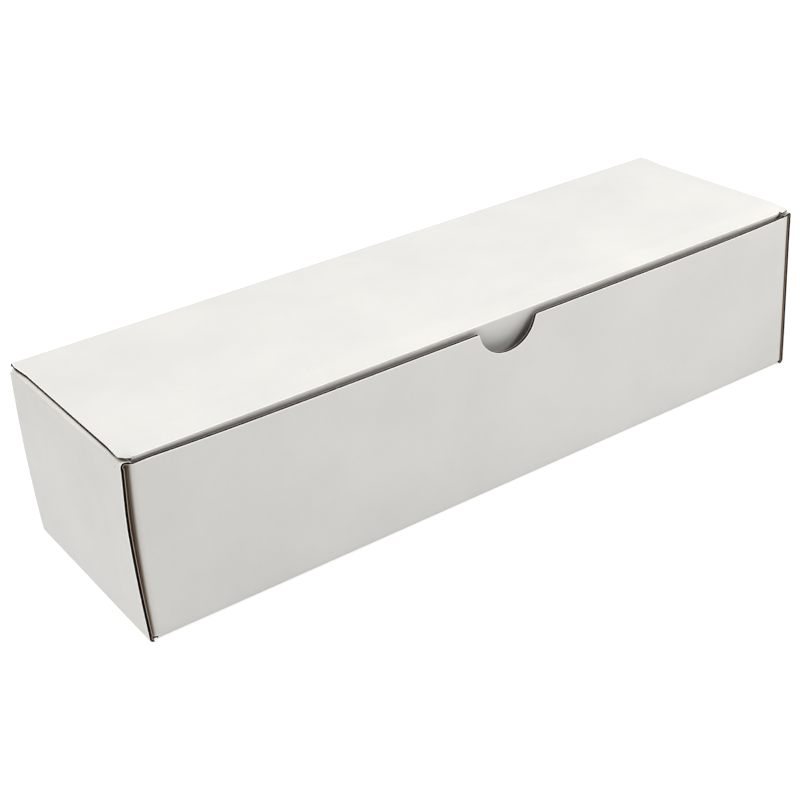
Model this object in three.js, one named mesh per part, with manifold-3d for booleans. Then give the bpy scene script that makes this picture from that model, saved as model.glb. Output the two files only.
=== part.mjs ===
// A long white card box, folded from one die-cut sheet of fine corrugated board: roll-over ends that lock
// into slots in the bottom, corner flaps trapped inside the ends, and a hinged lid with a tuck flap.
// Millimetres, +Z up, origin under the middle of the closed box, front wall towards -Y.

import * as THREE from "three";
import { mergeVertices } from "three/addons/utils/BufferGeometryUtils.js";
import Module from "manifold-3d";

const wasm = await Module();
wasm.setup();

// Outside of the closed box
const boxLength = 345;
const boxDepth = 100;
const boxHeight = 81;

// Board: two flat liners with a fluted medium glued between them
const linerThickness = 0.25;
const fluteHeight = 1.06;
const mediumThickness = 0.2;
const flutePitch = 3.6;
const crestShare = 0.2;
const glueLine = 0.02;
const board = fluteHeight + 2 * (linerThickness + glueLine);

// Folds: the board is crushed where it is creased, and rounds the corner
const foldRadius = 2;
const creaseThickness = 1.2;
const foldSteps = 3;
const boardClearance = 0.1;

// Lid. Its raw side edges lie a little inside the ends.
const lidInset = 0.8;
const earChamfer = 2.8;
const lidReliefLength = 4;

// Tuck flap. Its crease is sharper than the others.
const tuckFoldRadius = 1.7;
const tuckDepth = 28;
const tuckTiltDegrees = 10;
const tuckClearance = 0.4;
const tuckCornerRadius = 7;

// Thumb notch in the front wall, a little to the right of the middle
const notchOffset = 4;
const notchRadius = 15.2;
const notchCentreRise = 1.7;
const notchLipRadius = 1.5;
const notchSteps = 8;

// Corner flaps. The gap is between the tips of the front and the back flap at one end.
const cornerFlapGap = 11;
const cornerFlapTaper = 3;
const cornerFlapRadius = 5;

// Locking tabs of the inner end walls, and their slots in the bottom
const tabWidth = 18;
const tabTaper = 1.5;
const tabPlaceShare = 0.25;
const slotClearance = 0.3;

const cutOverrun = 1;
const cornerSteps = 4;

// Places worked out from the sizes above
const halfLength = boxLength / 2;
const halfDepth = boxDepth / 2;
const tuckTilt = THREE.MathUtils.degToRad(tuckTiltDegrees);
const stackStep = board + boardClearance;
const frontWallHalf = halfLength - stackStep;
const innerEndOutside = frontWallHalf - stackStep;
const innerEndInside = innerEndOutside - board;
const innerEndHalf = halfDepth - stackStep;
const rollOverTop = boxHeight - stackStep;
const wallTop = rollOverTop - stackStep;
const tabPlace = boxDepth * tabPlaceShare;
const tuckHalf = innerEndInside - tuckClearance;
const lidHalf = halfLength - lidInset;
const tuckFoldY = -halfDepth + board + tuckClearance + tuckFoldRadius;
const foldTop = boxHeight - foldRadius;
const tuckFoldTop = boxHeight - tuckFoldRadius;

const whiteLiner = { color: 0xe9e8e4, roughness: 0.62, metalness: 0 };
const brownMedium = { color: 0x8a7358, roughness: 0.9, metalness: 0 };
const brownLiner = { color: 0xb0977a, roughness: 0.85, metalness: 0 };

// Solids

function solidFrom(geometry) {
  const bare = geometry.clone();
  bare.deleteAttribute("normal");
  bare.deleteAttribute("uv");
  const merged = mergeVertices(bare);
  return new wasm.Manifold(
    new wasm.Mesh({
      numProp: 3,
      vertProperties: new Float32Array(merged.attributes.position.array),
      triVerts: new Uint32Array(merged.index.array),
    }),
  );
}

function geometryFrom(solid) {
  const { vertProperties, triVerts } = solid.getMesh();
  const geometry = new THREE.BufferGeometry();
  geometry.setAttribute("position", new THREE.BufferAttribute(vertProperties, 3));
  geometry.setIndex(new THREE.BufferAttribute(triVerts, 1));
  geometry.computeVertexNormals();
  return geometry;
}

function slab(outline, thickness, curveSegments = cornerSteps) {
  return new THREE.ExtrudeGeometry(outline, { depth: thickness, bevelEnabled: false, curveSegments });
}

// A closed outline through the given points, each corner rounded by its own radius (none where it is 0).
function roundedOutline(corners) {
  const outline = new THREE.Shape();
  const count = corners.length;
  corners.forEach(([x, y, radius = 0], i) => {
    const corner = new THREE.Vector2(x, y);
    const [beforeX, beforeY] = corners[(i + count - 1) % count];
    const [afterX, afterY] = corners[(i + 1) % count];
    const towardsBefore = new THREE.Vector2(beforeX, beforeY).sub(corner).setLength(radius);
    const towardsAfter = new THREE.Vector2(afterX, afterY).sub(corner).setLength(radius);
    const arrive = corner.clone().add(towardsBefore);
    const leave = corner.clone().add(towardsAfter);
    if (i === 0) outline.moveTo(arrive.x, arrive.y);
    else outline.lineTo(arrive.x, arrive.y);
    if (radius > 0) outline.quadraticCurveTo(x, y, leave.x, leave.y);
  });
  outline.closePath();
  return outline;
}

function rectangle(left, right, low, high) {
  return roundedOutline([
    [left, low],
    [right, low],
    [right, high],
    [left, high],
  ]);
}

// The fluted medium of one panel. Its flutes run along x and its waves rise in z; the wave is centred on
// the panel's own middle line and then trimmed to the panel's outline.
function flutedMedium(outline, curveSegments) {
  const points = outline.getPoints(curveSegments);
  const extent = new THREE.Box2().setFromPoints(points);
  const middle = (extent.min.y + extent.max.y) / 2;
  const flutes = Math.ceil((extent.max.y - extent.min.y + 2 * cutOverrun) / flutePitch);
  const start = middle - (flutes * flutePitch) / 2;
  const crest = flutePitch * crestShare;
  const rise = fluteHeight - mediumThickness;
  const lower = [];
  for (let i = 0; i < flutes; i += 1) {
    const y = start + i * flutePitch;
    lower.push([y, 0], [y + crest, 0]);
    lower.push([y + flutePitch / 2, rise], [y + flutePitch / 2 + crest, rise]);
  }
  lower.push([start + flutes * flutePitch, 0]);
  const upper = lower.map(([y, z]) => [y, z + mediumThickness]).reverse();
  const wave = new THREE.Shape([...lower, ...upper].map(([y, z]) => new THREE.Vector2(y, z)));
  const sheet = slab(wave, extent.max.x - extent.min.x + 2 * cutOverrun);
  sheet.applyMatrix4(
    new THREE.Matrix4().makeBasis(
      new THREE.Vector3(0, 1, 0),
      new THREE.Vector3(0, 0, 1),
      new THREE.Vector3(1, 0, 0),
    ),
  );
  sheet.translate(extent.min.x - cutOverrun, 0, 0);
  return solidFrom(sheet).intersect(throughPrism(outline, curveSegments));
}

// A prism that runs past both faces of every ply, to trim or cut it with
function throughPrism(outline, curveSegments) {
  const prism = slab(outline, fluteHeight + 2 * cutOverrun, curveSegments);
  prism.translate(0, 0, -cutOverrun);
  return solidFrom(prism);
}

function addMesh(group, name, geometry, look) {
  const mesh = new THREE.Mesh(geometry, new THREE.MeshStandardMaterial(look));
  mesh.name = name;
  group.add(mesh);
  return mesh;
}

// One flat panel of board: outer liner, medium and inner liner. The outline and the cut-outs are drawn with
// the flutes along x, and the panel's outer face lies at z = 0 with the board below it.
function addPanel(parent, name, outline, placing) {
  const { origin, along, across, cutouts = [], curveSegments = cornerSteps } = placing;
  const panel = new THREE.Group();
  const outward = new THREE.Vector3().crossVectors(along, across);
  panel.quaternion.setFromRotationMatrix(new THREE.Matrix4().makeBasis(along, across, outward));
  panel.position.copy(origin);
  parent.add(panel);
  const liner = solidFrom(slab(outline, linerThickness, curveSegments));
  const medium = flutedMedium(outline, curveSegments);
  const plies = [
    ["outer_liner", liner, -linerThickness, whiteLiner],
    ["fluted_medium", medium, linerThickness + glueLine - board, brownMedium],
    ["inner_liner", liner, -board, brownLiner],
  ];
  for (const [ply, solid, z, look] of plies) {
    const cut = cutouts.reduce((left, cutout) => left.subtract(throughPrism(cutout, curveSegments)), solid);
    addMesh(panel, `${name}_${ply}`, geometryFrom(cut), look).position.z = z;
  }
}

// A crushed fold, drawn in the x-y plane about its own centre from startAngle over turn, and run along z.
function foldGeometry(radius, startAngle, turn, length) {
  const arc = new THREE.Shape();
  arc.absarc(0, 0, radius, startAngle, startAngle + turn, false);
  arc.absarc(0, 0, radius - creaseThickness, startAngle + turn, startAngle, true);
  arc.closePath();
  const fold = slab(arc, length, foldSteps);
  fold.translate(0, 0, -length / 2);
  return fold;
}

// A fold runs along the third axis of its basis, with its centre at the given place.
function addFold(parent, name, placing) {
  const { at, xAxis, yAxis, radius = foldRadius, startAngle, turn = Math.PI / 2, length } = placing;
  const fold = addMesh(parent, name, foldGeometry(radius, startAngle, turn, length), whiteLiner);
  const run = new THREE.Vector3().crossVectors(xAxis, yAxis);
  fold.quaternion.setFromRotationMatrix(new THREE.Matrix4().makeBasis(xAxis, yAxis, run));
  fold.position.copy(at);
  return fold;
}

const X = new THREE.Vector3(1, 0, 0);
const Y = new THREE.Vector3(0, 1, 0);
const Z = new THREE.Vector3(0, 0, 1);
const minusX = new THREE.Vector3(-1, 0, 0);
const minusY = new THREE.Vector3(0, -1, 0);
const quarter = Math.PI / 2;

const box = new THREE.Group();
box.name = "card_storage_box";

// Bottom, with two tab slots at each end

const bottomHalfLength = halfLength - foldRadius - glueLine;
const bottomHalfDepth = halfDepth - foldRadius - glueLine;
const slotMiddle = (innerEndOutside + innerEndInside) / 2;
const slotHalfWide = board / 2 + slotClearance;
const slotHalfLong = tabWidth / 2 + slotClearance;
const slots = [];
for (const x of [-slotMiddle, slotMiddle]) {
  for (const y of [-tabPlace, tabPlace]) {
    slots.push(rectangle(x - slotHalfWide, x + slotHalfWide, y - slotHalfLong, y + slotHalfLong));
  }
}
addPanel(
  box,
  "bottom",
  rectangle(-bottomHalfLength, bottomHalfLength, -bottomHalfDepth, bottomHalfDepth),
  { origin: new THREE.Vector3(0, 0, 0), along: minusX, across: Y, cutouts: slots },
);

// Front wall, with the thumb notch in its top edge

const wallHalf = frontWallHalf - foldRadius - glueLine;
const wallLow = foldRadius + glueLine;
const notchCentre = wallTop + notchCentreRise;
const notchHalf = Math.sqrt(notchRadius ** 2 - notchCentreRise ** 2);
const notchStart = Math.atan2(-notchCentreRise, notchHalf);

const frontOutline = new THREE.Shape();
frontOutline.moveTo(-wallHalf, wallLow);
frontOutline.lineTo(wallHalf, wallLow);
frontOutline.lineTo(wallHalf, wallTop);
frontOutline.lineTo(notchOffset + notchHalf + notchLipRadius, wallTop);
const lipAngle = notchStart - notchLipRadius / notchRadius;
frontOutline.quadraticCurveTo(
  notchOffset + notchHalf,
  wallTop,
  notchOffset + notchRadius * Math.cos(lipAngle),
  notchCentre + notchRadius * Math.sin(lipAngle),
);
frontOutline.absarc(notchOffset, notchCentre, notchRadius, lipAngle, -Math.PI - notchStart, true);
frontOutline.lineTo(-wallHalf, wallTop);
frontOutline.closePath();
addPanel(box, "front_wall", frontOutline, {
  origin: new THREE.Vector3(0, -halfDepth, 0),
  along: X,
  across: Z,
  curveSegments: notchSteps,
});

// Back wall

const backOutline = rectangle(-wallHalf, wallHalf, wallLow, foldTop - glueLine);
addPanel(box, "back_wall", backOutline, {
  origin: new THREE.Vector3(0, halfDepth, 0),
  along: minusX,
  across: Z,
});

addFold(box, "front_bottom_fold", {
  at: new THREE.Vector3(0, -halfDepth + foldRadius, foldRadius),
  xAxis: Y,
  yAxis: Z,
  startAngle: Math.PI,
  length: 2 * wallHalf,
});
addFold(box, "back_bottom_fold", {
  at: new THREE.Vector3(0, halfDepth - foldRadius, foldRadius),
  xAxis: Y,
  yAxis: Z,
  startAngle: -quarter,
  length: 2 * wallHalf,
});

// Ends. The left end is drawn, and the right end is its mirror image.

function addEnd(side, mirror) {
  const end = new THREE.Group();
  end.scale.x = mirror;
  box.add(end);

  const outerOutline = rectangle(wallLow, rollOverTop - foldRadius - glueLine, -halfDepth, halfDepth);
  addPanel(end, `${side}_outer_end`, outerOutline, {
    origin: new THREE.Vector3(-halfLength, 0, 0),
    along: Z,
    across: Y,
  });

  addFold(end, `${side}_bottom_fold`, {
    at: new THREE.Vector3(-halfLength + foldRadius, 0, foldRadius),
    xAxis: Z,
    yAxis: X,
    startAngle: Math.PI,
    length: boxDepth,
  });

  addRollOver(end, side);
  addInnerEnd(end, side);
  for (const [place, facing] of [
    ["front", -1],
    ["back", 1],
  ]) {
    addCornerFlap(end, `${place}_${side}`, facing);
  }
}

// The roll-over turns twice, up over the outer end wall and down into the box. It passes over the front
// wall, where its inner leg is cut away, and stops short of the back wall, which is higher.
function addRollOver(end, side) {
  const outerCentre = -halfLength + foldRadius;
  const innerCentre = -innerEndInside - foldRadius;
  const inside = foldRadius - creaseThickness;
  const centreZ = rollOverTop - foldRadius;
  const profile = new THREE.Shape();
  profile.absarc(innerCentre, centreZ, foldRadius, 0, quarter, false);
  profile.absarc(outerCentre, centreZ, foldRadius, quarter, Math.PI, false);
  profile.absarc(outerCentre, centreZ, inside, Math.PI, quarter, true);
  profile.absarc(innerCentre, centreZ, inside, quarter, 0, true);
  profile.closePath();
  const strip = slab(profile, halfDepth + innerEndHalf, foldSteps);
  const relief = slab(
    rectangle(outerCentre, -innerEndInside + cutOverrun, centreZ - cutOverrun, wallTop + boardClearance),
    halfDepth - innerEndHalf + cutOverrun,
  );
  relief.translate(0, 0, 2 * innerEndHalf);
  const cut = geometryFrom(solidFrom(strip).subtract(solidFrom(relief)));
  const rollOver = addMesh(end, `${side}_roll_over`, cut, whiteLiner);
  rollOver.quaternion.setFromRotationMatrix(new THREE.Matrix4().makeBasis(X, Z, minusY));
  rollOver.position.y = innerEndHalf;
}

// The inner end wall faces into the box. Its tabs narrow towards their tips and stand in the slots.
function addInnerEnd(end, side) {
  const high = rollOverTop - foldRadius - glueLine;
  const low = stackStep;
  const tip = linerThickness;
  const corners = [
    [high, innerEndHalf],
    [low, innerEndHalf],
  ];
  for (const place of [tabPlace, -tabPlace]) {
    corners.push([low, place + tabWidth / 2], [tip, place + tabWidth / 2 - tabTaper]);
    corners.push([tip, place - tabWidth / 2 + tabTaper], [low, place - tabWidth / 2]);
  }
  corners.push([low, -innerEndHalf], [high, -innerEndHalf]);
  addPanel(end, `${side}_inner_end`, roundedOutline(corners), {
    origin: new THREE.Vector3(-innerEndInside, 0, 0),
    along: Z,
    across: minusY,
  });
}

// A corner flap and the fold that joins it to the front wall (facing -1) or to the back wall (facing 1)
function addCornerFlap(end, name, facing) {
  const foldY = facing * (halfDepth - foldRadius);
  const low = foldRadius + boardClearance;
  addFold(end, `${name}_corner_fold`, {
    at: new THREE.Vector3(-frontWallHalf + foldRadius, foldY, (low + wallTop) / 2),
    xAxis: X,
    yAxis: Y,
    startAngle: facing < 0 ? Math.PI : quarter,
    length: wallTop - low,
  });
  const root = halfDepth - foldRadius - glueLine;
  const tip = cornerFlapGap / 2;
  const corners = [
    [root, low],
    [root, wallTop],
    [tip, wallTop - cornerFlapTaper, cornerFlapRadius],
    [tip, low + cornerFlapTaper, cornerFlapRadius],
  ];
  const outline = roundedOutline(corners.map(([y, z, radius]) => [-facing * y, z, radius]));
  addPanel(end, `${name}_corner_flap`, outline, {
    origin: new THREE.Vector3(-frontWallHalf, 0, 0),
    along: minusY,
    across: Z,
  });
}

addEnd("left", 1);
addEnd("right", -1);

// Lid. It lies on the roll-overs and has a small chamfered ear outside each end of the tuck flap.

const hingeHalf = frontWallHalf;
const lidBack = halfDepth - foldRadius - glueLine;
const earInside = tuckHalf + tuckClearance;
const lidCorners = [
  [hingeHalf, lidBack],
  [lidHalf, lidBack - lidReliefLength],
  [lidHalf, earChamfer - halfDepth],
  [lidHalf - earChamfer, -halfDepth],
  [earInside, -halfDepth],
  [earInside, tuckFoldY + glueLine],
];
const mirrored = lidCorners.map(([x, y]) => [-x, y]).reverse();
addPanel(box, "lid", roundedOutline([...lidCorners, ...mirrored]), {
  origin: new THREE.Vector3(0, 0, boxHeight),
  along: X,
  across: Y,
});
addFold(box, "lid_hinge_fold", {
  at: new THREE.Vector3(0, halfDepth - foldRadius, foldTop),
  xAxis: Y,
  yAxis: Z,
  startAngle: 0,
  length: 2 * hingeHalf,
});

// Tuck flap. It hangs behind the front wall and leans into the box, so its edge clears the wall as the lid
// swings up.

const tuckFoldAt = new THREE.Vector3(0, tuckFoldY, tuckFoldTop);
addFold(box, "tuck_fold", {
  at: tuckFoldAt,
  xAxis: Y,
  yAxis: Z,
  radius: tuckFoldRadius,
  startAngle: quarter,
  turn: quarter + tuckTilt,
  length: 2 * tuckHalf,
});
const tuckHang = new THREE.Group();
tuckHang.position.copy(tuckFoldAt);
tuckHang.rotation.x = tuckTilt;
box.add(tuckHang);
const tuckOutline = roundedOutline([
  [-tuckHalf, -glueLine],
  [-tuckHalf, -tuckDepth, tuckCornerRadius],
  [tuckHalf, -tuckDepth, tuckCornerRadius],
  [tuckHalf, -glueLine],
]);
addPanel(tuckHang, "tuck_flap", tuckOutline, {
  origin: new THREE.Vector3(0, -tuckFoldRadius, 0),
  along: X,
  across: Z,
});

export default box;
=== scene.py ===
import math

import bmesh
import bpy
from mathutils import Matrix, Vector
from mathutils.geometry import tessellate_polygon


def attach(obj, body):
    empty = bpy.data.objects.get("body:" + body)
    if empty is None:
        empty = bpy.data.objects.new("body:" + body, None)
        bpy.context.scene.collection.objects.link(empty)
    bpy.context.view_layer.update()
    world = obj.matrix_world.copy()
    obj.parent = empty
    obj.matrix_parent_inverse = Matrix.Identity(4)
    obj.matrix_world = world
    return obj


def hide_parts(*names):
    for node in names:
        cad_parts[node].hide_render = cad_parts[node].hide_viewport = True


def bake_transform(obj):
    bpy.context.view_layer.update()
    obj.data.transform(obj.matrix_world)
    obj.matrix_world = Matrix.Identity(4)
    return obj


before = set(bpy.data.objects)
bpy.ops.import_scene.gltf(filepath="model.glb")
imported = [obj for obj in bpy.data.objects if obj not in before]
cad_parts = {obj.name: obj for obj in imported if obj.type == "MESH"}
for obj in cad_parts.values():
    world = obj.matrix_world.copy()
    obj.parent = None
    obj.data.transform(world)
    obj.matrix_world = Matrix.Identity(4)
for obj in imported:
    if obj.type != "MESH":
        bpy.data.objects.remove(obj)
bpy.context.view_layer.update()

mm = 0.001

# The box in the photo, in millimetres, in the CAD's frame: the front wall towards -Y, +Z up.
box = {
    "halfLength": 172.5,
    "halfDepth": 50.0,
    "height": 81.0,
    "foldRadius": 2.0,
    "clearance": 0.1,
    "lidInset": 0.8,
}

# One sheet of board: two papers with a fluted one between them.
sheet = {
    "board": 1.6,
    "liner": 0.25,
    "flutePitch": 3.6,
    "fluteSteps": 12,
    "fluteRun": 14.0,   # length of one step along a flute
    "paper": 0.2,       # the fluted paper itself
    "backing": 0.05,    # brown back of each flat paper
    "crush": 0.75,      # what a crease leaves of the board
    "crushRun": 1.2,    # how far from a crease the board is thinner
    "gridStep": 8.0,
    "rim": 0.45,        # width of the paler rim along a cut edge of the white paper, a painted highlight
    "innerRimHighlight": 0.2,    # and of the brown one
}

step = sheet["board"] + box["clearance"]
frontWallHalf = box["halfLength"] - step
innerEndOutside = frontWallHalf - step
innerEndInside = innerEndOutside - sheet["board"]
innerEndHalf = box["halfDepth"] - step
rollOverTop = box["height"] - step
wallTop = rollOverTop - step
quarter = math.pi / 2


def smoothstep(low, high, value):
    t = min(max((value - low) / (high - low), 0.0), 1.0)
    return t * t * (3 - 2 * t)


# How the made-up box lies a little out of true, as the photo shows.
lean = {
    "leftBow": 1.0,       # the left end stands out at mid height
    "rightIn": 0.05,      # the right end stands in
    "endReach": 70.0,     # how far from an end this fades out
    "wallBow": 0.7,       # the front wall's top edge stands out in the middle
    "wallLow": 1.0,       # and is lower, most of all there
    "wallSag": 1.0,
    "leftTopIn": 0.85,    # the left end's front top corner leans in
    "rollOverDown": 0.45,  # the roll-overs' inner edges are lower at the front, under the lid
    "lidShift": -0.3,     # the lid lies a little to the left
    "lidShort": 1.6,      # and its ends lie further in
    "lidFront": -48.3,    # its front edge
    "lidDip": (2.35, 1.75),  # that edge is lower between its ears, left and right
    "lidDipReach": 10.0,
    "earFrom": 164.5,     # the ears, out to past the lid's end
    "earTo": 171.0,
    "earUp": 0.6,         # the share of the dip that they don't follow
    "tuckBow": 1.7,       # the flap bows away from the front wall
    "tuckIn": 0.6,        # and stands off it further down
    "tuckReach": 29.0,
    "cornerGap": (0.3, 2.5),  # the front wall's left corner stands off from the end, low and high
    "cornerGapReach": 6.5,
    "cornerFrom": -162.0,  # where the wall starts to draw in to that corner
    "cornerDrop": 0.4,    # the wall's top edge falls off towards that corner
}


def settleBody(p):
    x, y, z = p
    u = 2 * z / box["height"] - 1
    left = smoothstep(-box["halfLength"] + lean["endReach"], -box["halfLength"] + 8, x)
    right = smoothstep(box["halfLength"] - lean["endReach"], box["halfLength"] - 8, x)
    dx = left * lean["leftBow"] * u * u - right * lean["rightIn"]
    front = smoothstep(-box["halfDepth"] + 12, -box["halfDepth"] + 2, y)
    high = smoothstep(0.0, wallTop, z)
    side = min(abs(x) / frontWallHalf, 1.0) ** 6
    dy = front * high * lean["wallBow"] * side
    dz = -front * (lean["wallLow"] + lean["wallSag"] * (1 - side)) * smoothstep(40, wallTop, z)
    return Vector((x + dx, y + dy, z + dz))


def settleEnd(p):
    near = smoothstep(-34.0, -box["halfDepth"], p[1])
    inner = smoothstep(box["halfLength"] - 0.6, box["halfLength"] - 4.0, abs(p[0]))
    dz = -lean["rollOverDown"] * inner * near * smoothstep(66.0, 79.0, p[2])
    if p[0] > 0:
        return settleBody(p) + Vector((0, 0, dz))
    dx = lean["leftTopIn"] * smoothstep(50.0, 78.0, p[2]) * smoothstep(-10.0, -box["halfDepth"], p[1])
    return settleBody(p) + Vector((dx, 0, dz))


def cornerGapAt(z):
    low, high = lean["cornerGap"]
    return (low + (high - low) * z / wallTop) * smoothstep(0.0, 4.0, z)


def settleFrontWall(p):
    near = 1 - smoothstep(lean["cornerFrom"], -110.0, p[0])
    drop = smoothstep(lean["cornerFrom"], -167.0, p[0]) * smoothstep(40, wallTop, p[2])
    return settleBody(p) + Vector((cornerGapAt(p[2]) * near, 0, -lean["cornerDrop"] * drop))


def settleGapFlap(p):
    # The front left corner flap starts at the wall's corner and goes back to the end wall.
    start = -box["halfDepth"] + box["foldRadius"]
    near = 1 - smoothstep(start, start + lean["cornerGapReach"], p[1])
    drop = near * smoothstep(40, wallTop, p[2])
    return settleBody(p) + Vector((cornerGapAt(p[2]) * near, 0, -lean["cornerDrop"] * drop))


def settleLid(p):
    x, y, z = p
    dx = lean["lidShift"] - lean["lidShort"] * x / box["halfLength"]
    ear = smoothstep(lean["earFrom"], lean["earTo"], abs(x))
    left, right = lean["lidDip"]
    dip = left + (right - left) * (x / box["halfLength"] + 1) / 2
    front = smoothstep(lean["lidFront"] + lean["lidDipReach"], lean["lidFront"], y)
    dz = -dip * (1 - lean["earUp"] * ear) * front
    near = smoothstep(box["halfDepth"] - 1, box["halfDepth"] - 14, y)
    return Vector((x + dx * near, y, z + dz))


def settleTuck(p):
    q = settleLid((p[0], lean["lidFront"], p[2]))
    down = min(max((box["height"] - 1 - p[2]) / lean["tuckReach"], 0.0), 1.0)
    side = min(abs(p[0]) / frontWallHalf, 1.0) ** 6
    clear = (lean["tuckIn"] * down + lean["wallBow"] * side) * smoothstep(0.0, 0.1, down)
    bow = lean["tuckBow"] * math.sin(math.pi * down ** 0.85)
    return Vector((q.x, p[1] + bow + clear, q.z))


# Outlines, drawn flat as the sheet is cut: a runs along the flutes and b across them.

def roundedOutline(corners, steps=6):
    points = []
    count = len(corners)
    for i, corner in enumerate(corners):
        at = Vector(corner[:2])
        radius = corner[2] if len(corner) > 2 else 0.0
        if radius == 0:
            points.append(at)
            continue
        before = Vector(corners[i - 1][:2]) - at
        after = Vector(corners[(i + 1) % count][:2]) - at
        arrive, leave = at + before.normalized() * radius, at + after.normalized() * radius
        for k in range(steps + 1):
            t = k / steps
            points.append(arrive * (1 - t) ** 2 + at * 2 * t * (1 - t) + leave * t * t)
    return points


# A crease in a sheet: the side of it that turns, where it starts, its radius and its angle.

def foldOver(run, depth, crease):
    past = run - crease["start"]
    if past <= 0:
        return run, depth
    radius, turn = crease["radius"], crease.get("turn", quarter)
    angle = min(past / radius, turn)
    beyond = max(past - radius * turn, 0.0)
    reach = radius + depth
    return (
        crease["start"] + reach * math.sin(angle) + beyond * math.cos(turn),
        -radius + reach * math.cos(angle) - beyond * math.sin(turn),
    )


def creaseEnd(crease):
    return crease["start"] + crease["radius"] * crease.get("turn", quarter)


def thinned(run, crease):
    away = max(crease["start"] - run, run - creaseEnd(crease), 0.0)
    left = crease.get("crush", sheet["crush"])
    return left + (1 - left) * smoothstep(0.0, crease.get("crushRun", sheet["crushRun"]), away)


class Panel:
    def __init__(
        self, name, outline, origin, along, across,
        creases=(), holes=(), settle=settleBody, mirror=False, cuts=None,
    ):
        self.name = name
        self.outline = outline
        self.origin = Vector(origin)
        self.along = Vector(along)
        self.across = Vector(across)
        self.outward = self.along.cross(self.across)
        self.creases = creases
        self.holes = holes
        self.settle = settle
        self.mirror = mirror
        self.cuts = cuts or {}

    def place(self, a, b, w):
        # Thin the board at its creases, then turn it over them, the outermost crease first.
        for crease in self.creases:
            w *= thinned(crease["side"] * (a if crease["axis"] == "a" else b), crease)
        for crease in self.creases:
            if crease.get("beside"):
                continue
            side = crease["side"]
            if crease["axis"] == "a":
                run, w = foldOver(side * a, w, crease)
                a = side * run
            else:
                run, w = foldOver(side * b, w, crease)
                b = side * run
        p = self.origin + self.along * a + self.across * b + self.outward * w
        if self.mirror:
            p.x = -p.x
        return self.settle(p) * mm

    def creaseShade(self, a, b):
        # 1 on a crease, 0 away from it: where a faint shade is painted
        nearest = 0.0
        for crease in self.creases:
            run = crease["side"] * (a if crease["axis"] == "a" else b)
            away = max(crease["start"] - run, run - creaseEnd(crease), 0.0)
            nearest = max(nearest, 1 - smoothstep(0.0, sheet["crushRun"] * 0.6, away))
        return nearest

    def paintedShade(self, a, b):
        # 1 where brown shade is painted: on the corner folds and the walls' ends, in the shaded gaps at the
        #                                 corners, and on the tuck flap beside the notch, in the front wall's
        #                                 shade
        if self.name == "tuck_flap":
            past = -b - self.creases[0]["start"]
            beside = smoothstep(12.0, 22.0, abs(a - 4.0))
            return 0.1 * smoothstep(0.3, 1.2, past) * (1 - smoothstep(5.0, 14.0, past)) * beside
        if self.name.endswith("corner_flap"):
            past = self.creases[0]["start"] + a * self.creases[0]["side"] * -1
            return 1 - smoothstep(2.0, 12.0, past)
        if self.name in ("front_wall", "back_wall"):
            return smoothstep(0.9, 2.4, abs(a) - (frontWallHalf - box["foldRadius"]))
        return 0.0

    def cutLines(self):
        # Where the flat sheet needs edges, so that it can bend.
        low = Vector((min(p[0] for p in self.outline), min(p[1] for p in self.outline)))
        high = Vector((max(p[0] for p in self.outline), max(p[1] for p in self.outline)))
        lines = []
        for i, axis in enumerate("ab"):
            count = max(int((high[i] - low[i]) / sheet["gridStep"]), 1)
            values = [low[i] + (high[i] - low[i]) * k / count for k in range(1, count)]
            values += self.cuts.get(axis, [])
            for crease in self.creases:
                if crease["axis"] != axis:
                    continue
                side, start, end = crease["side"], crease["start"], creaseEnd(crease)
                values += [side * (start + (end - start) * k / 8) for k in range(9)]
                run = crease.get("crushRun", sheet["crushRun"])
                values += [side * (start - run * k / 3) for k in (1, 2, 3)]
                values += [side * (end + run * k / 3) for k in (1, 2, 3)]
            kept = []
            for value in sorted(values):
                if low[i] + 0.04 < value < high[i] - 0.04 and (not kept or value - kept[-1] > 0.04):
                    kept.append(value)
            lines += [(axis, value) for value in kept]
        return lines


def prism(outline, low, high, holes=()):
    mesh = bmesh.new()
    loops = [[Vector((p[0], p[1], 0)) for p in loop] for loop in (outline, *holes)]
    base = [mesh.verts.new((p.x, p.y, low)) for loop in loops for p in loop]
    top = [mesh.verts.new((p.x, p.y, high)) for loop in loops for p in loop]
    if holes:
        for corners in tessellate_polygon(loops):
            mesh.faces.new([top[i] for i in corners])
            mesh.faces.new([base[i] for i in reversed(corners)])
    else:
        mesh.faces.new(top)
        mesh.faces.new(list(reversed(base)))
    first = 0
    for loop in loops:
        count = len(loop)
        for i in range(count):
            k = (i + 1) % count
            mesh.faces.new((base[first + i], base[first + k], top[first + k], top[first + i]))
        first += count
    bmesh.ops.recalc_face_normals(mesh, faces=mesh.faces)
    return mesh


def flatPaper(panel, low, high, showing, width, pale=1.0):
    # One flat paper, with a paler rim along its cut edges on the side that shows, which is a painted
    # highlight. There is none where the sheet runs on.
    mesh = prism(panel.outline, low, high, panel.holes)
    rim = mesh.verts.layers.float.new("rim")
    if not panel.holes:
        faces = [face for face in mesh.faces if showing * face.normal.z > 0.9]
        for vert in mesh.verts:
            vert[rim] = pale
        bmesh.ops.inset_region(mesh, faces=faces, thickness=width, use_even_offset=True, use_boundary=True)
        for face in faces:
            for vert in face.verts:
                vert[rim] = 0.0
    for crease in panel.creases:
        axis = 0 if crease["axis"] == "a" else 1
        for vert in mesh.verts:
            if crease.get("beside") and crease["side"] * vert.co[axis] > crease["start"] - width - 0.05:
                vert[rim] = 0.0
    return mesh


def cutAlong(mesh, lines):
    for axis, value in lines:
        spot = (value, 0, 0) if axis == "a" else (0, value, 0)
        facing = (1, 0, 0) if axis == "a" else (0, 1, 0)
        everything = mesh.verts[:] + mesh.edges[:] + mesh.faces[:]
        bmesh.ops.bisect_plane(mesh, geom=everything, dist=1e-4, plane_co=spot, plane_no=facing)


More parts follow.
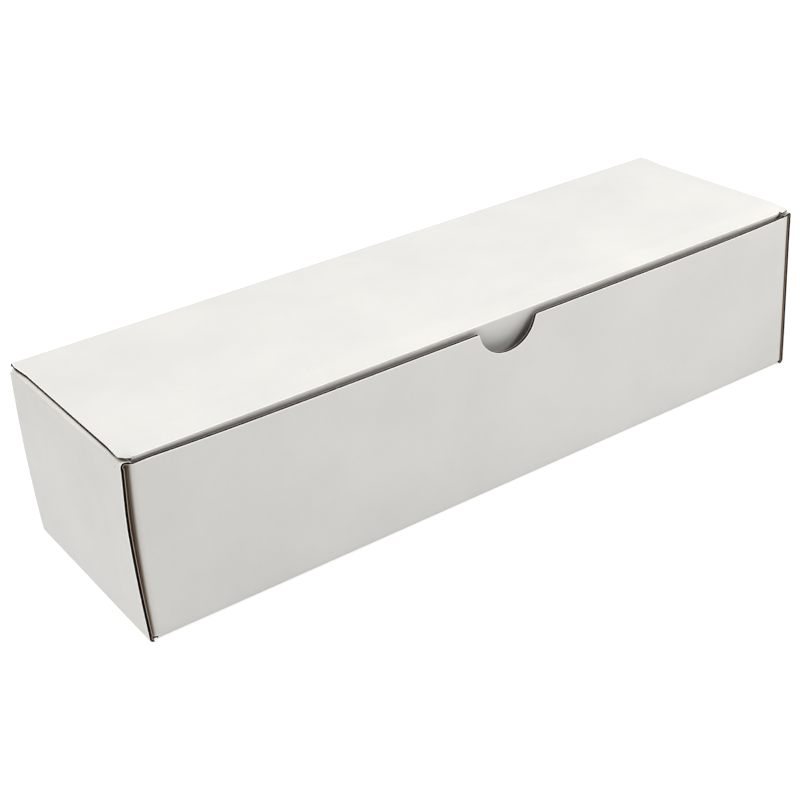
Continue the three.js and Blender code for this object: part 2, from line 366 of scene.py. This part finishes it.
def objectFrom(mesh, name):
    data = bpy.data.meshes.new(name)
    mesh.to_mesh(data)
    mesh.free()
    piece = bpy.data.objects.new(name, data)
    bpy.context.scene.collection.objects.link(piece)
    return piece


# Geometry Nodes: the fluted paper. The base mesh is the panel's own outline as a prism, and what comes out
# is a wave that runs across it, trimmed to that prism.

def buildFluteTree(paper):
    tree = bpy.data.node_groups.new("flutedPaper", "GeometryNodeTree")
    face = tree.interface
    face.new_socket("Geometry", in_out="INPUT", socket_type="NodeSocketGeometry")
    for name in ("Length", "Width", "Centre A", "Centre B", "Pitch", "Rise", "Paper", "Middle"):
        face.new_socket(name, in_out="INPUT", socket_type="NodeSocketFloat")
    for name in ("Rows Along", "Rows Across"):
        face.new_socket(name, in_out="INPUT", socket_type="NodeSocketInt")
    face.new_socket("Geometry", in_out="OUTPUT", socket_type="NodeSocketGeometry")
    nodes, link = tree.nodes, tree.links.new
    given = nodes.new("NodeGroupInput")
    result = nodes.new("NodeGroupOutput")

    grid = nodes.new("GeometryNodeMeshGrid")
    link(given.outputs["Length"], grid.inputs["Size X"])
    link(given.outputs["Width"], grid.inputs["Size Y"])
    link(given.outputs["Rows Along"], grid.inputs["Vertices X"])
    link(given.outputs["Rows Across"], grid.inputs["Vertices Y"])

    def maths(operation, first, second=None):
        node = nodes.new("ShaderNodeMath")
        node.operation = operation
        for socket, value in zip(node.inputs, (first, second)):
            if value is None:
                continue
            if isinstance(value, (int, float)):
                socket.default_value = value
            else:
                link(value, socket)
        return node.outputs[0]

    # z = middle - paper / 2 + rise / 2 * sin(2 pi y / pitch)
    spot = nodes.new("GeometryNodeInputPosition")
    split = nodes.new("ShaderNodeSeparateXYZ")
    link(spot.outputs[0], split.inputs[0])
    turns = maths("DIVIDE", split.outputs["Y"], given.outputs["Pitch"])
    wave = maths("SINE", maths("MULTIPLY", turns, 2 * math.pi))
    lift = maths("MULTIPLY", wave, maths("MULTIPLY", given.outputs["Rise"], 0.5))
    base = maths("SUBTRACT", given.outputs["Middle"], maths("MULTIPLY", given.outputs["Paper"], 0.5))
    shift = nodes.new("ShaderNodeCombineXYZ")
    link(given.outputs["Centre A"], shift.inputs["X"])
    link(given.outputs["Centre B"], shift.inputs["Y"])
    link(maths("ADD", lift, base), shift.inputs["Z"])
    raised = nodes.new("GeometryNodeSetPosition")
    link(grid.outputs["Mesh"], raised.inputs["Geometry"])
    link(shift.outputs[0], raised.inputs["Offset"])

    thick = nodes.new("GeometryNodeExtrudeMesh")
    thick.mode = "FACES"
    thick.inputs["Individual"].default_value = False
    up = nodes.new("ShaderNodeCombineXYZ")
    up.inputs["Z"].default_value = 1.0
    link(raised.outputs[0], thick.inputs["Mesh"])
    link(up.outputs[0], thick.inputs["Offset"])
    link(given.outputs["Paper"], thick.inputs["Offset Scale"])
    turned = nodes.new("GeometryNodeFlipFaces")
    link(raised.outputs[0], turned.inputs[0])
    both = nodes.new("GeometryNodeJoinGeometry")
    link(thick.outputs["Mesh"], both.inputs[0])
    link(turned.outputs[0], both.inputs[0])
    merged = nodes.new("GeometryNodeMergeByDistance")
    merged.inputs["Distance"].default_value = 0.001
    link(both.outputs[0], merged.inputs["Geometry"])

    trim = nodes.new("GeometryNodeMeshBoolean")
    trim.operation = "INTERSECT"
    trim.solver = "MANIFOLD"
    link(merged.outputs[0], trim.inputs["Mesh 2"])
    link(given.outputs["Geometry"], trim.inputs["Mesh 2"])
    real = nodes.new("GeometryNodeRealizeInstances")
    link(trim.outputs["Mesh"], real.inputs[0])
    finish = nodes.new("GeometryNodeSetMaterial")
    finish.inputs["Material"].default_value = paper
    link(real.outputs[0], finish.inputs[0])
    link(finish.outputs[0], result.inputs[0])
    return tree


def flutesFor(panel, tree):
    low, high = -sheet["board"] + sheet["liner"], -sheet["liner"]
    piece = objectFrom(prism(panel.outline, low, high, panel.holes), panel.name + "_flutes_flat")
    lowA, highA = min(p[0] for p in panel.outline) - 1, max(p[0] for p in panel.outline) + 1
    lowB, highB = min(p[1] for p in panel.outline) - 1, max(p[1] for p in panel.outline) + 1
    flutes = math.ceil((highB - lowB) / sheet["flutePitch"])
    flute = piece.modifiers.new("flutes", "NODES")
    flute.node_group = tree
    sizes = {
        "Length": highA - lowA,
        "Width": flutes * sheet["flutePitch"],
        "Centre A": (lowA + highA) / 2,
        "Centre B": (lowB + highB) / 2,
        "Pitch": sheet["flutePitch"],
        "Rise": high - low - sheet["paper"],
        "Paper": sheet["paper"],
        "Middle": (low + high) / 2,
        "Rows Along": max(int((highA - lowA) / sheet["fluteRun"]), 2),
        "Rows Across": flutes * sheet["fluteSteps"] + 1,
    }
    for socket in tree.interface.items_tree:
        if socket.in_out == "INPUT" and socket.name in sizes:
            flute[socket.identifier] = sizes[socket.name]
    graph = bpy.context.evaluated_depsgraph_get()
    data = bpy.data.meshes.new_from_object(piece.evaluated_get(graph))
    bpy.data.objects.remove(piece)
    mesh = bmesh.new()
    mesh.from_mesh(data)
    bpy.data.meshes.remove(data)
    for near, far in ((low, low + sheet["backing"]), (high - sheet["backing"], high)):
        back = prism(panel.outline, near, far, panel.holes)
        data = bpy.data.meshes.new("backing")
        back.to_mesh(data)
        back.free()
        mesh.from_mesh(data)
        bpy.data.meshes.remove(data)
    return mesh


def bendInto(mesh, panel, name, material, sharp=35):
    # Cut the flat sheet where it bends, keep its place on the sheet as its UV map, and fold it into place.
    cutAlong(mesh, panel.cutLines())
    sheetMap = mesh.loops.layers.uv.new("sheet")
    for face in mesh.faces:
        for loop in face.loops:
            loop[sheetMap].uv = (loop.vert.co.x * mm, loop.vert.co.y * mm)
    creaseShade = mesh.verts.layers.float.new("creaseShade")
    paintedShade = mesh.verts.layers.float.new("paintedShade")
    for vert in mesh.verts:
        vert[creaseShade] = panel.creaseShade(*vert.co[:2])
        vert[paintedShade] = panel.paintedShade(*vert.co[:2])
        vert.co = panel.place(*vert.co)
    if panel.mirror:
        bmesh.ops.reverse_faces(mesh, faces=mesh.faces[:])
    for face in mesh.faces:
        face.smooth = True
    piece = objectFrom(mesh, name)
    piece.data.set_sharp_from_angle(angle=math.radians(sharp))
    piece.data.materials.clear()
    piece.data.materials.append(material)
    return piece


# Papers. Each is drawn in the object's own coordinates, in metres, so that a pattern runs on over a fold.

def newPaper(name):
    material = bpy.data.materials.new(name)
    material.use_nodes = True
    nodes, links = material.node_tree.nodes, material.node_tree.links
    shader = nodes["Principled BSDF"]
    where = nodes.new("ShaderNodeTexCoord")

    def noise(scale, detail=3.0, roughness=0.5, stretch=None):
        texture = nodes.new("ShaderNodeTexNoise")
        texture.inputs["Scale"].default_value = scale
        texture.inputs["Detail"].default_value = detail
        texture.inputs["Roughness"].default_value = roughness
        if stretch:
            mapping = nodes.new("ShaderNodeMapping")
            mapping.inputs["Scale"].default_value = stretch
            links.new(where.outputs["Object"], mapping.inputs["Vector"])
            links.new(mapping.outputs[0], texture.inputs["Vector"])
        else:
            links.new(where.outputs["Object"], texture.inputs["Vector"])
        return texture.outputs[0]

    def ramp(value, stops):
        node = nodes.new("ShaderNodeValToRGB")
        for element, (position, colour) in zip(node.color_ramp.elements, stops):
            element.position = position
            element.color = (*colour, 1)
        links.new(value, node.inputs[0])
        return node.outputs[0]

    def blend(kind, share, first, second):
        node = nodes.new("ShaderNodeMix")
        node.data_type = "RGBA"
        node.blend_type = kind
        for socket, value in ((node.inputs[0], share), (node.inputs[6], first), (node.inputs[7], second)):
            if isinstance(value, (int, float)):
                socket.default_value = value
            elif isinstance(value, tuple):
                socket.default_value = (*value, 1)
            else:
                links.new(value, socket)
        return node.outputs[2]

    def bump(height, strength, distance, under=None):
        node = nodes.new("ShaderNodeBump")
        node.inputs["Strength"].default_value = strength
        node.inputs["Distance"].default_value = distance
        links.new(height, node.inputs["Height"])
        if under:
            links.new(under, node.inputs["Normal"])
        return node.outputs[0]

    return material, nodes, links, shader, noise, ramp, blend, bump


whiteLook = {
    "pale": (0.680, 0.672, 0.644),
    "dull": (0.640, 0.635, 0.610),
    # the rim colour is a painted highlight along cut edges
    "rim": (0.96, 0.96, 0.94),
    "crease": (0.96, 0.955, 0.945),
    # the colour of the painted brown shade
    "paintedShade": (0.44, 0.34, 0.24),
    "speck": (0.30, 0.22, 0.15),
}


def buildWhitePaper():
    material, nodes, links, shader, noise, ramp, blend, bump = newPaper("bleachedPaper")
    cloud = noise(22, 4, 0.55)
    colour = ramp(cloud, [(0.3, whiteLook["dull"]), (0.62, whiteLook["pale"])])
    fibre = noise(1400, 3, 0.6, (1.0, 0.35, 0.35))
    colour = blend("MULTIPLY", 0.10, colour, ramp(fibre, [(0.25, (0.8, 0.8, 0.79)), (0.7, (1, 1, 1))]))
    specks = noise(420, 1, 0.4)
    colour = blend("MIX", ramp(specks, [(0.83, (0, 0, 0)), (0.86, (1, 1, 1))]), colour, whiteLook["speck"])
    # a faint painted shade along the creases
    creaseShade = nodes.new("ShaderNodeAttribute")
    creaseShade.attribute_name = "creaseShade"
    colour = blend("MULTIPLY", creaseShade.outputs["Fac"], colour, whiteLook["crease"])
    # painted brown shade in the corner gaps and on the tuck flap behind the front wall
    paintedShade = nodes.new("ShaderNodeAttribute")
    paintedShade.attribute_name = "paintedShade"
    colour = blend("MULTIPLY", paintedShade.outputs["Fac"], colour, whiteLook["paintedShade"])
    # a painted highlight along the paper's cut edges
    rim = nodes.new("ShaderNodeAttribute")
    rim.attribute_name = "rim"
    colour = blend("MIX", rim.outputs["Fac"], colour, whiteLook["rim"])
    links.new(colour, shader.inputs["Base Color"])
    shader.inputs["Specular IOR Level"].default_value = 0.25
    sheen = ramp(noise(60, 2), [(0.2, (0.56, 0.56, 0.56)), (0.8, (0.68, 0.68, 0.68))])
    links.new(sheen, shader.inputs["Roughness"])
    swell = bump(noise(34, 2), 0.25, 0.0012)
    links.new(bump(fibre, 0.18, 0.00006, swell), shader.inputs["Normal"])
    return material


# near black: the fluting paper's dark brown, darkened further by painted shade standing for the hollows
# between the flutes
mediumPaperAndShade = {"dark": (0.006, 0.004, 0.003), "pale": (0.022, 0.014, 0.009)}


def buildFlutingPaper():
    material, nodes, links, shader, noise, ramp, blend, bump = newPaper("flutingPaper")
    grain = noise(900, 4, 0.6)
    colour = ramp(grain, [(0.3, mediumPaperAndShade["dark"]), (0.7, mediumPaperAndShade["pale"])])
    links.new(colour, shader.inputs["Base Color"])
    shader.inputs["Roughness"].default_value = 0.95
    shader.inputs["Specular IOR Level"].default_value = 0.1
    links.new(bump(grain, 0.4, 0.00008), shader.inputs["Normal"])
    return material


kraftLook = {
    "dark": (0.19, 0.118, 0.070),
    "pale": (0.245, 0.152, 0.092),
    "fleck": (0.09, 0.052, 0.030),
    # the rim colour is a painted highlight along the brown paper's cut edges
    "rim": (0.50, 0.40, 0.32),
}


def buildKraftPaper():
    material, nodes, links, shader, noise, ramp, blend, bump = newPaper("kraftPaper")
    colour = ramp(noise(30, 4, 0.6), [(0.3, kraftLook["dark"]), (0.7, kraftLook["pale"])])
    fibre = noise(900, 4, 0.65, (1.0, 0.3, 0.3))
    flecks = ramp(fibre, [(0.55, (0, 0, 0)), (0.72, (0.6, 0.6, 0.6))])
    colour = blend("MIX", flecks, colour, kraftLook["fleck"])
    # a painted highlight along the brown paper's cut edges
    rim = nodes.new("ShaderNodeAttribute")
    rim.attribute_name = "rim"
    colour = blend("MIX", rim.outputs["Fac"], colour, kraftLook["rim"])
    links.new(colour, shader.inputs["Base Color"])
    shader.inputs["Roughness"].default_value = 0.85
    shader.inputs["Specular IOR Level"].default_value = 0.15
    links.new(bump(fibre, 0.3, 0.00008), shader.inputs["Normal"])
    return material


bleachedPaper = buildWhitePaper()
flutingPaper = buildFlutingPaper()
kraftPaper = buildKraftPaper()
fluteTree = buildFluteTree(flutingPaper)
print("papers: bleached, fluting, kraft")


# The panels of the box

radius = box["foldRadius"]
X, Y, Z = Vector((1, 0, 0)), Vector((0, 1, 0)), Vector((0, 0, 1))


# extra cuts, where a panel is out of true over a short way
lowCuts = [0.8, 1.6, 2.4, 3.2, 4.0] + [44.0 + 4 * k for k in range(9)]


def newCrease(axis, side, start, **more):
    return {"axis": axis, "side": side, "start": start, "radius": radius, **more}


def buildFrontWall():
    notch = {"centre": 3.64, "radius": 15.0, "rise": 2.3, "lip": 1.3, "steps": 40}
    half = frontWallHalf - radius
    tab = radius * quarter
    low = radius + box["clearance"]
    centre = wallTop + notch["rise"]
    reach = math.sqrt(notch["radius"] ** 2 - notch["rise"] ** 2)
    start = math.atan2(-notch["rise"], reach)
    lip = start - notch["lip"] / notch["radius"]
    sharp = {"radius": 1.3, "start": frontWallHalf - 1.3}   # the right corner's fold is tighter
    far = sharp["start"] + sharp["radius"] * quarter + radius - sharp["radius"]
    outline = [
        (-half, radius - tab), (half, radius - tab), (half, low), (far, low), (far, wallTop),
    ]
    corner = Vector((notch["centre"] + reach, wallTop))
    arrive = corner + Vector((notch["lip"], 0))

    def onNotch(angle):
        return notch["centre"] + notch["radius"] * math.cos(angle), centre + notch["radius"] * math.sin(angle)

    leave = Vector(onNotch(lip))
    for k in range(6):
        t = k / 6
        outline.append(arrive * (1 - t) ** 2 + corner * 2 * t * (1 - t) + leave * t * t)
    for k in range(notch["steps"] + 1):
        angle = lip + (-math.pi - start - lip) * k / notch["steps"]
        outline.append(onNotch(angle))
    outline += [(-half - tab, wallTop), (-half - tab, low), (-half, low)]
    creases = [
        newCrease("b", -1, -radius),
        newCrease("a", 1, sharp["start"], radius=sharp["radius"]),
        newCrease("a", -1, half),
    ]
    cuts = {"a": [lean["cornerFrom"] + 4.0 * k for k in range(12)], "b": lowCuts}
    place = (0, -box["halfDepth"], 0)
    return Panel("front_wall", outline, place, X, Z, creases, settle=settleFrontWall, cuts=cuts)


def buildBackWall():
    half = frontWallHalf - radius
    tab = radius * quarter
    low = radius + box["clearance"]
    top = box["height"] - radius
    outline = [
        (-half, radius - tab), (half, radius - tab), (half, low), (half + tab, low), (half + tab, wallTop),
        (half, wallTop), (half, top), (-half, top), (-half, wallTop), (-half - tab, wallTop),
        (-half - tab, low), (-half, low),
    ]
    creases = [
        newCrease("b", -1, -radius),
        newCrease("a", 1, half),
        newCrease("a", -1, half),
        newCrease("b", 1, top, beside=True),
    ]
    return Panel("back_wall", outline, (0, box["halfDepth"], 0), -X, Z, creases)


def buildOuterEnd(mirror):
    depth = box["halfDepth"]
    tab = radius * quarter
    over = rollOverTop - radius
    span = (box["halfLength"] - radius) - (innerEndInside + radius)
    second = over + tab + span
    end = second + tab
    front = innerEndHalf if mirror else innerEndHalf - lean["cornerGapReach"]
    outline = [
        (radius - tab, -depth), (second + tab * 0.5, -depth), (second + tab * 0.5, -front), (end, -front),
        (end, innerEndHalf), (over, innerEndHalf), (over, depth), (radius - tab, depth),
    ]
    creases = [newCrease("a", 1, second), newCrease("a", 1, over), newCrease("a", -1, -radius)]
    name = "right_outer_end" if mirror else "left_outer_end"
    cuts = {"b": [-48.0 + 2.0 * k for k in range(8)]}
    return Panel(
        name, outline, (-box["halfLength"], 0, 0), Z, Y, creases, settle=settleEnd, mirror=mirror, cuts=cuts
    )


def buildInnerEnd(mirror):
    tabs = {"place": box["halfDepth"] * 0.5, "width": 18.0, "taper": 1.5}
    high = rollOverTop - radius
    low, tip = step, sheet["liner"]
    front = innerEndHalf if mirror else innerEndHalf - lean["cornerGapReach"]
    corners = [(high, front), (low, front)]
    for place in (tabs["place"], -tabs["place"]):
        half = tabs["width"] / 2
        corners += [(low, place + half), (tip, place + half - tabs["taper"])]
        corners += [(tip, place - half + tabs["taper"]), (low, place - half)]
    corners += [(low, -innerEndHalf), (high, -innerEndHalf)]
    name = "right_inner_end" if mirror else "left_inner_end"
    creases = [newCrease("a", 1, high, beside=True)]
    cuts = {"b": [48.0 - 2.0 * k for k in range(8)]}
    return Panel(
        name, corners, (-innerEndInside, 0, 0), Z, -Y, creases, settle=settleEnd, mirror=mirror, cuts=cuts
    )


def buildCornerFlap(facing, mirror):
    flap = {"gap": 11.0, "taper": 3.0, "radius": 5.0}
    low = radius + box["clearance"]
    root, tip = box["halfDepth"] - radius, flap["gap"] / 2
    corners = [
        (root, low), (root, wallTop), (tip, wallTop - flap["taper"], flap["radius"]),
        (tip, low + flap["taper"], flap["radius"]),
    ]
    outline = roundedOutline([(-facing * c[0], *c[1:]) for c in corners])
    side = "right" if mirror else "left"
    name = ("front_" if facing < 0 else "back_") + side + "_corner_flap"
    creases = [newCrease("a", -facing, root, beside=True)]
    settle = settleGapFlap if facing < 0 and not mirror else settleBody
    cuts = {"a": [-facing * (root - 0.8 * k) for k in range(1, 12)], "b": lowCuts}
    return Panel(
        name, outline, (-frontWallHalf, 0, 0), -Y, Z, creases, settle=settle, mirror=mirror, cuts=cuts
    )


# the crease between the lid and the tuck flap is sharper and flatter than the others
frontCrease = {"place": -47.95, "radius": 0.35, "crush": 0.22}


def buildLid():
    lid = {"chamfer": 2.2, "rightChamfer": 1.2, "relief": 4.0, "leftEar": -167.3, "rightEar": 167.4}
    line, tight = frontCrease["place"], frontCrease["radius"]
    half = box["halfLength"] - box["lidInset"]
    back = box["halfDepth"] - radius
    front = -box["halfDepth"]
    hinge = frontWallHalf
    tab = radius * quarter
    outline = [
        (lid["leftEar"], line), (lid["leftEar"], front), (-half + lid["chamfer"], front),
        (-half, front + lid["chamfer"]), (-half, back - lid["relief"]), (-hinge, back), (-hinge, back + tab),
        (hinge, back + tab), (hinge, back), (half, back - lid["relief"]), (half, front + lid["rightChamfer"]),
        (half - lid["rightChamfer"], front), (lid["rightEar"], front), (lid["rightEar"], line),
    ]
    creases = [
        newCrease("b", 1, back),
        newCrease("b", -1, -line, beside=True, crush=frontCrease["crush"], crushRun=6.0, radius=tight),
    ]
    cuts = {"a": [side * (lean["earFrom"] + 0.8 * k) for side in (-1, 1) for k in range(9)]}
    cuts["b"] = [-46.0 + 1.0 * k for k in range(9)]
    outline.reverse()
    return Panel("lid", outline, (0, 0, box["height"]), X, Y, creases, settle=settleLid, cuts=cuts)


def buildTuckFlap():
    tuck = {
        "left": -167.1, "right": 167.2, "depth": 28.9, "tilt": 10.0, "corner": 7.0, "taper": 0.8, "run": 6,
    }
    line, tight = frontCrease["place"], frontCrease["radius"]
    turn = quarter + math.radians(tuck["tilt"])
    end = line - tight * turn - tuck["depth"]
    left, right = tuck["left"] + tuck["taper"], tuck["right"] - tuck["taper"]
    outline = roundedOutline([
        (tuck["right"], line), (tuck["left"], line), (left, line - tuck["run"]),
        (left, end, tuck["corner"]), (right, end, tuck["corner"]), (right, line - tuck["run"]),
    ])
    creases = [newCrease("b", -1, -line, radius=tight, turn=turn, crush=frontCrease["crush"], crushRun=2.0)]
    cuts = {"a": [side * (lean["earFrom"] + 0.8 * k) for side in (-1, 1) for k in range(5)]}
    cuts["a"] += [4.0 + side * (14.0 + k) for side in (-1, 1) for k in range(4)]
    cuts["b"] = [line - 1.8 - 2.6 * k for k in range(11)]
    return Panel("tuck_flap", outline, (0, 0, box["height"]), X, Y, creases, settle=settleTuck, cuts=cuts)


def buildBottom():
    half, deep = box["halfLength"] - radius, box["halfDepth"] - radius
    slot = {"wide": sheet["board"] / 2 + 0.3, "long": 9.3, "place": box["halfDepth"] * 0.5}
    middle = (innerEndOutside + innerEndInside) / 2
    holes = []
    for x in (-middle, middle):
        for y in (-slot["place"], slot["place"]):
            holes.append([
                (x - slot["wide"], y - slot["long"]), (x - slot["wide"], y + slot["long"]),
                (x + slot["wide"], y + slot["long"]), (x + slot["wide"], y - slot["long"]),
            ])
    outline = [(-half, -deep), (half, -deep), (half, deep), (-half, deep)]
    creases = []
    for axis, reach in (("a", half), ("b", deep)):
        creases += [newCrease(axis, side, reach, beside=True) for side in (1, -1)]
    return Panel("bottom", outline, (0, 0, 0), -X, Y, creases, holes=holes)


folds = {
    "front_wall": ["front_bottom_fold", "front_left_corner_fold", "front_right_corner_fold"],
    "back_wall": ["back_bottom_fold", "back_left_corner_fold", "back_right_corner_fold"],
    "left_outer_end": ["left_bottom_fold", "left_roll_over"],
    "right_outer_end": ["right_bottom_fold", "right_roll_over"],
    "lid": ["lid_hinge_fold"],
    "tuck_flap": ["tuck_fold"],
}

panels = [buildBottom(), buildFrontWall(), buildBackWall()]
for mirror in (False, True):
    panels += [buildOuterEnd(mirror), buildInnerEnd(mirror)]
    panels += [buildCornerFlap(facing, mirror) for facing in (-1, 1)]
panels += [buildLid(), buildTuckFlap()]

for panel in panels:
    board, liner = sheet["board"], sheet["liner"]
    rimHighlightShare = 0.15 if panel.name in ("lid", "right_outer_end") else 1.0   # how much painted highlight the brown paper's cut edge gets: less on the lid and on the right end, the right end's edge lying in shade
    white = flatPaper(panel, -liner, 0, 1, sheet["rim"])
    fluted = flutesFor(panel, fluteTree)
    brown = flatPaper(panel, -board, liner - board, -1, sheet["innerRimHighlight"], rimHighlightShare)
    plies = [
        ("outer_liner", "white_paper", white, bleachedPaper, "white_liner"),
        ("fluted_medium", "fluted_paper", fluted, flutingPaper, "brown_medium"),
        ("inner_liner", "brown_paper", brown, kraftPaper, "brown_liner"),
    ]
    count = 0
    for ply, look, mesh, material, slot in plies:
        piece = bendInto(mesh, panel, panel.name + "_" + look, material)
        count += len(piece.data.polygons)
        if panel.name == "lid":
            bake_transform(piece)
        elif panel.name == "tuck_flap":
            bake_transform(piece)
        else:
            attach(piece, "box")
        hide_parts(panel.name + "_" + ply)
        if ply == "outer_liner":
            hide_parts(*folds.get(panel.name, []))
    print(panel.name, "built,", count, "faces")


# The studio: a white floor that glows, an even sky, a broad lamp far overhead and a soft one in front

studio = {
    "sky": 0.20,
    "lamp": 3.28,            # a broad lamp far overhead
    "lampSpread": 70.0,
    "lampFrom": (-0.29, 0.13, 1.0),
    "side": 1.9,             # a soft lamp to the right of the front
    "sideSize": 0.25,
    "sidePlace": (0.30, -0.62, 0.50),
    "sideAim": (0, 0, 0.04),
    "floor": (0.28, 0.28, 0.28),
    "floorHalf": 40.0,       # far enough to fill a low view
    "floorGlow": 0.78,       # the floor is a light table
}


def buildStudio():
    sky = bpy.data.worlds.new("studioSky")
    bpy.context.scene.world = sky
    sky.use_nodes = True
    sky.node_tree.nodes["Background"].inputs["Color"].default_value = (1.0, 1.0, 0.995, 1)
    sky.node_tree.nodes["Background"].inputs["Strength"].default_value = studio["sky"]
    lamp = bpy.data.lights.new("softbox", "SUN")
    lamp.angle = math.radians(studio["lampSpread"])
    lamp.energy = studio["lamp"]
    lampObject = bpy.data.objects.new("softbox", lamp)
    lampObject.location = studio["lampFrom"]
    lampObject.rotation_euler = (-Vector(studio["lampFrom"])).to_track_quat("-Z", "Y").to_euler()
    bpy.context.scene.collection.objects.link(lampObject)
    side = bpy.data.lights.new("side", "AREA")
    side.shape = "DISK"
    side.size = studio["sideSize"]
    side.energy = studio["side"]
    sideObject = bpy.data.objects.new("side", side)
    sideObject.location = studio["sidePlace"]
    aim = Vector(studio["sideAim"]) - sideObject.location
    sideObject.rotation_euler = aim.to_track_quat("-Z", "Y").to_euler()
    bpy.context.scene.collection.objects.link(sideObject)
    mesh = bmesh.new()
    bmesh.ops.create_grid(mesh, x_segments=1, y_segments=1, size=studio["floorHalf"])
    floor = objectFrom(mesh, "studio_floor")
    floor.location.z = -0.0002
    paint = bpy.data.materials.new("floorPaint")
    paint.use_nodes = True
    shader = paint.node_tree.nodes["Principled BSDF"]
    shader.inputs["Base Color"].default_value = (*studio["floor"], 1)
    shader.inputs["Roughness"].default_value = 1.0
    shader.inputs["Specular IOR Level"].default_value = 0.0
    shader.inputs["Emission Color"].default_value = (1, 1, 1, 1)
    shader.inputs["Emission Strength"].default_value = studio["floorGlow"]
    floor.data.materials.append(paint)
    bpy.context.scene.view_settings.view_transform = "Standard"


# The camera of the photo, from a fit to the box's edges
lens = {
    "azimuth": -33.208,
    "elevation": 28.295,
    "roll": -4.178,
    "focal": 1475.925,   # in pixels of an image 800 wide
    "place": (-333.081, -479.850, 337.288),
}


def buildCamera():
    azimuth, elevation, roll = (math.radians(lens[k]) for k in ("azimuth", "elevation", "roll"))
    back = Vector((
        math.sin(azimuth) * math.cos(elevation), -math.cos(azimuth) * math.cos(elevation), math.sin(elevation)
    ))
    right = (-back).cross(Z).normalized()
    up = right.cross(-back)
    side = right * math.cos(roll) + up * math.sin(roll)
    top = up * math.cos(roll) - right * math.sin(roll)
    place = Vector(lens["place"]) * mm
    camera = bpy.data.cameras.new("camera")
    camera.sensor_width = 36.0
    camera.lens = lens["focal"] * 36.0 / 800.0
    camera.clip_start = 0.01
    cameraObject = bpy.data.objects.new("camera", camera)
    cameraObject.matrix_world = Matrix((
        (side.x, top.x, back.x, place.x), (side.y, top.y, back.y, place.y), (side.z, top.z, back.z, place.z),
        (0, 0, 0, 1),
    ))
    bpy.context.scene.collection.objects.link(cameraObject)
    bpy.context.scene.camera = cameraObject


buildStudio()
buildCamera()
print("studio and camera set")
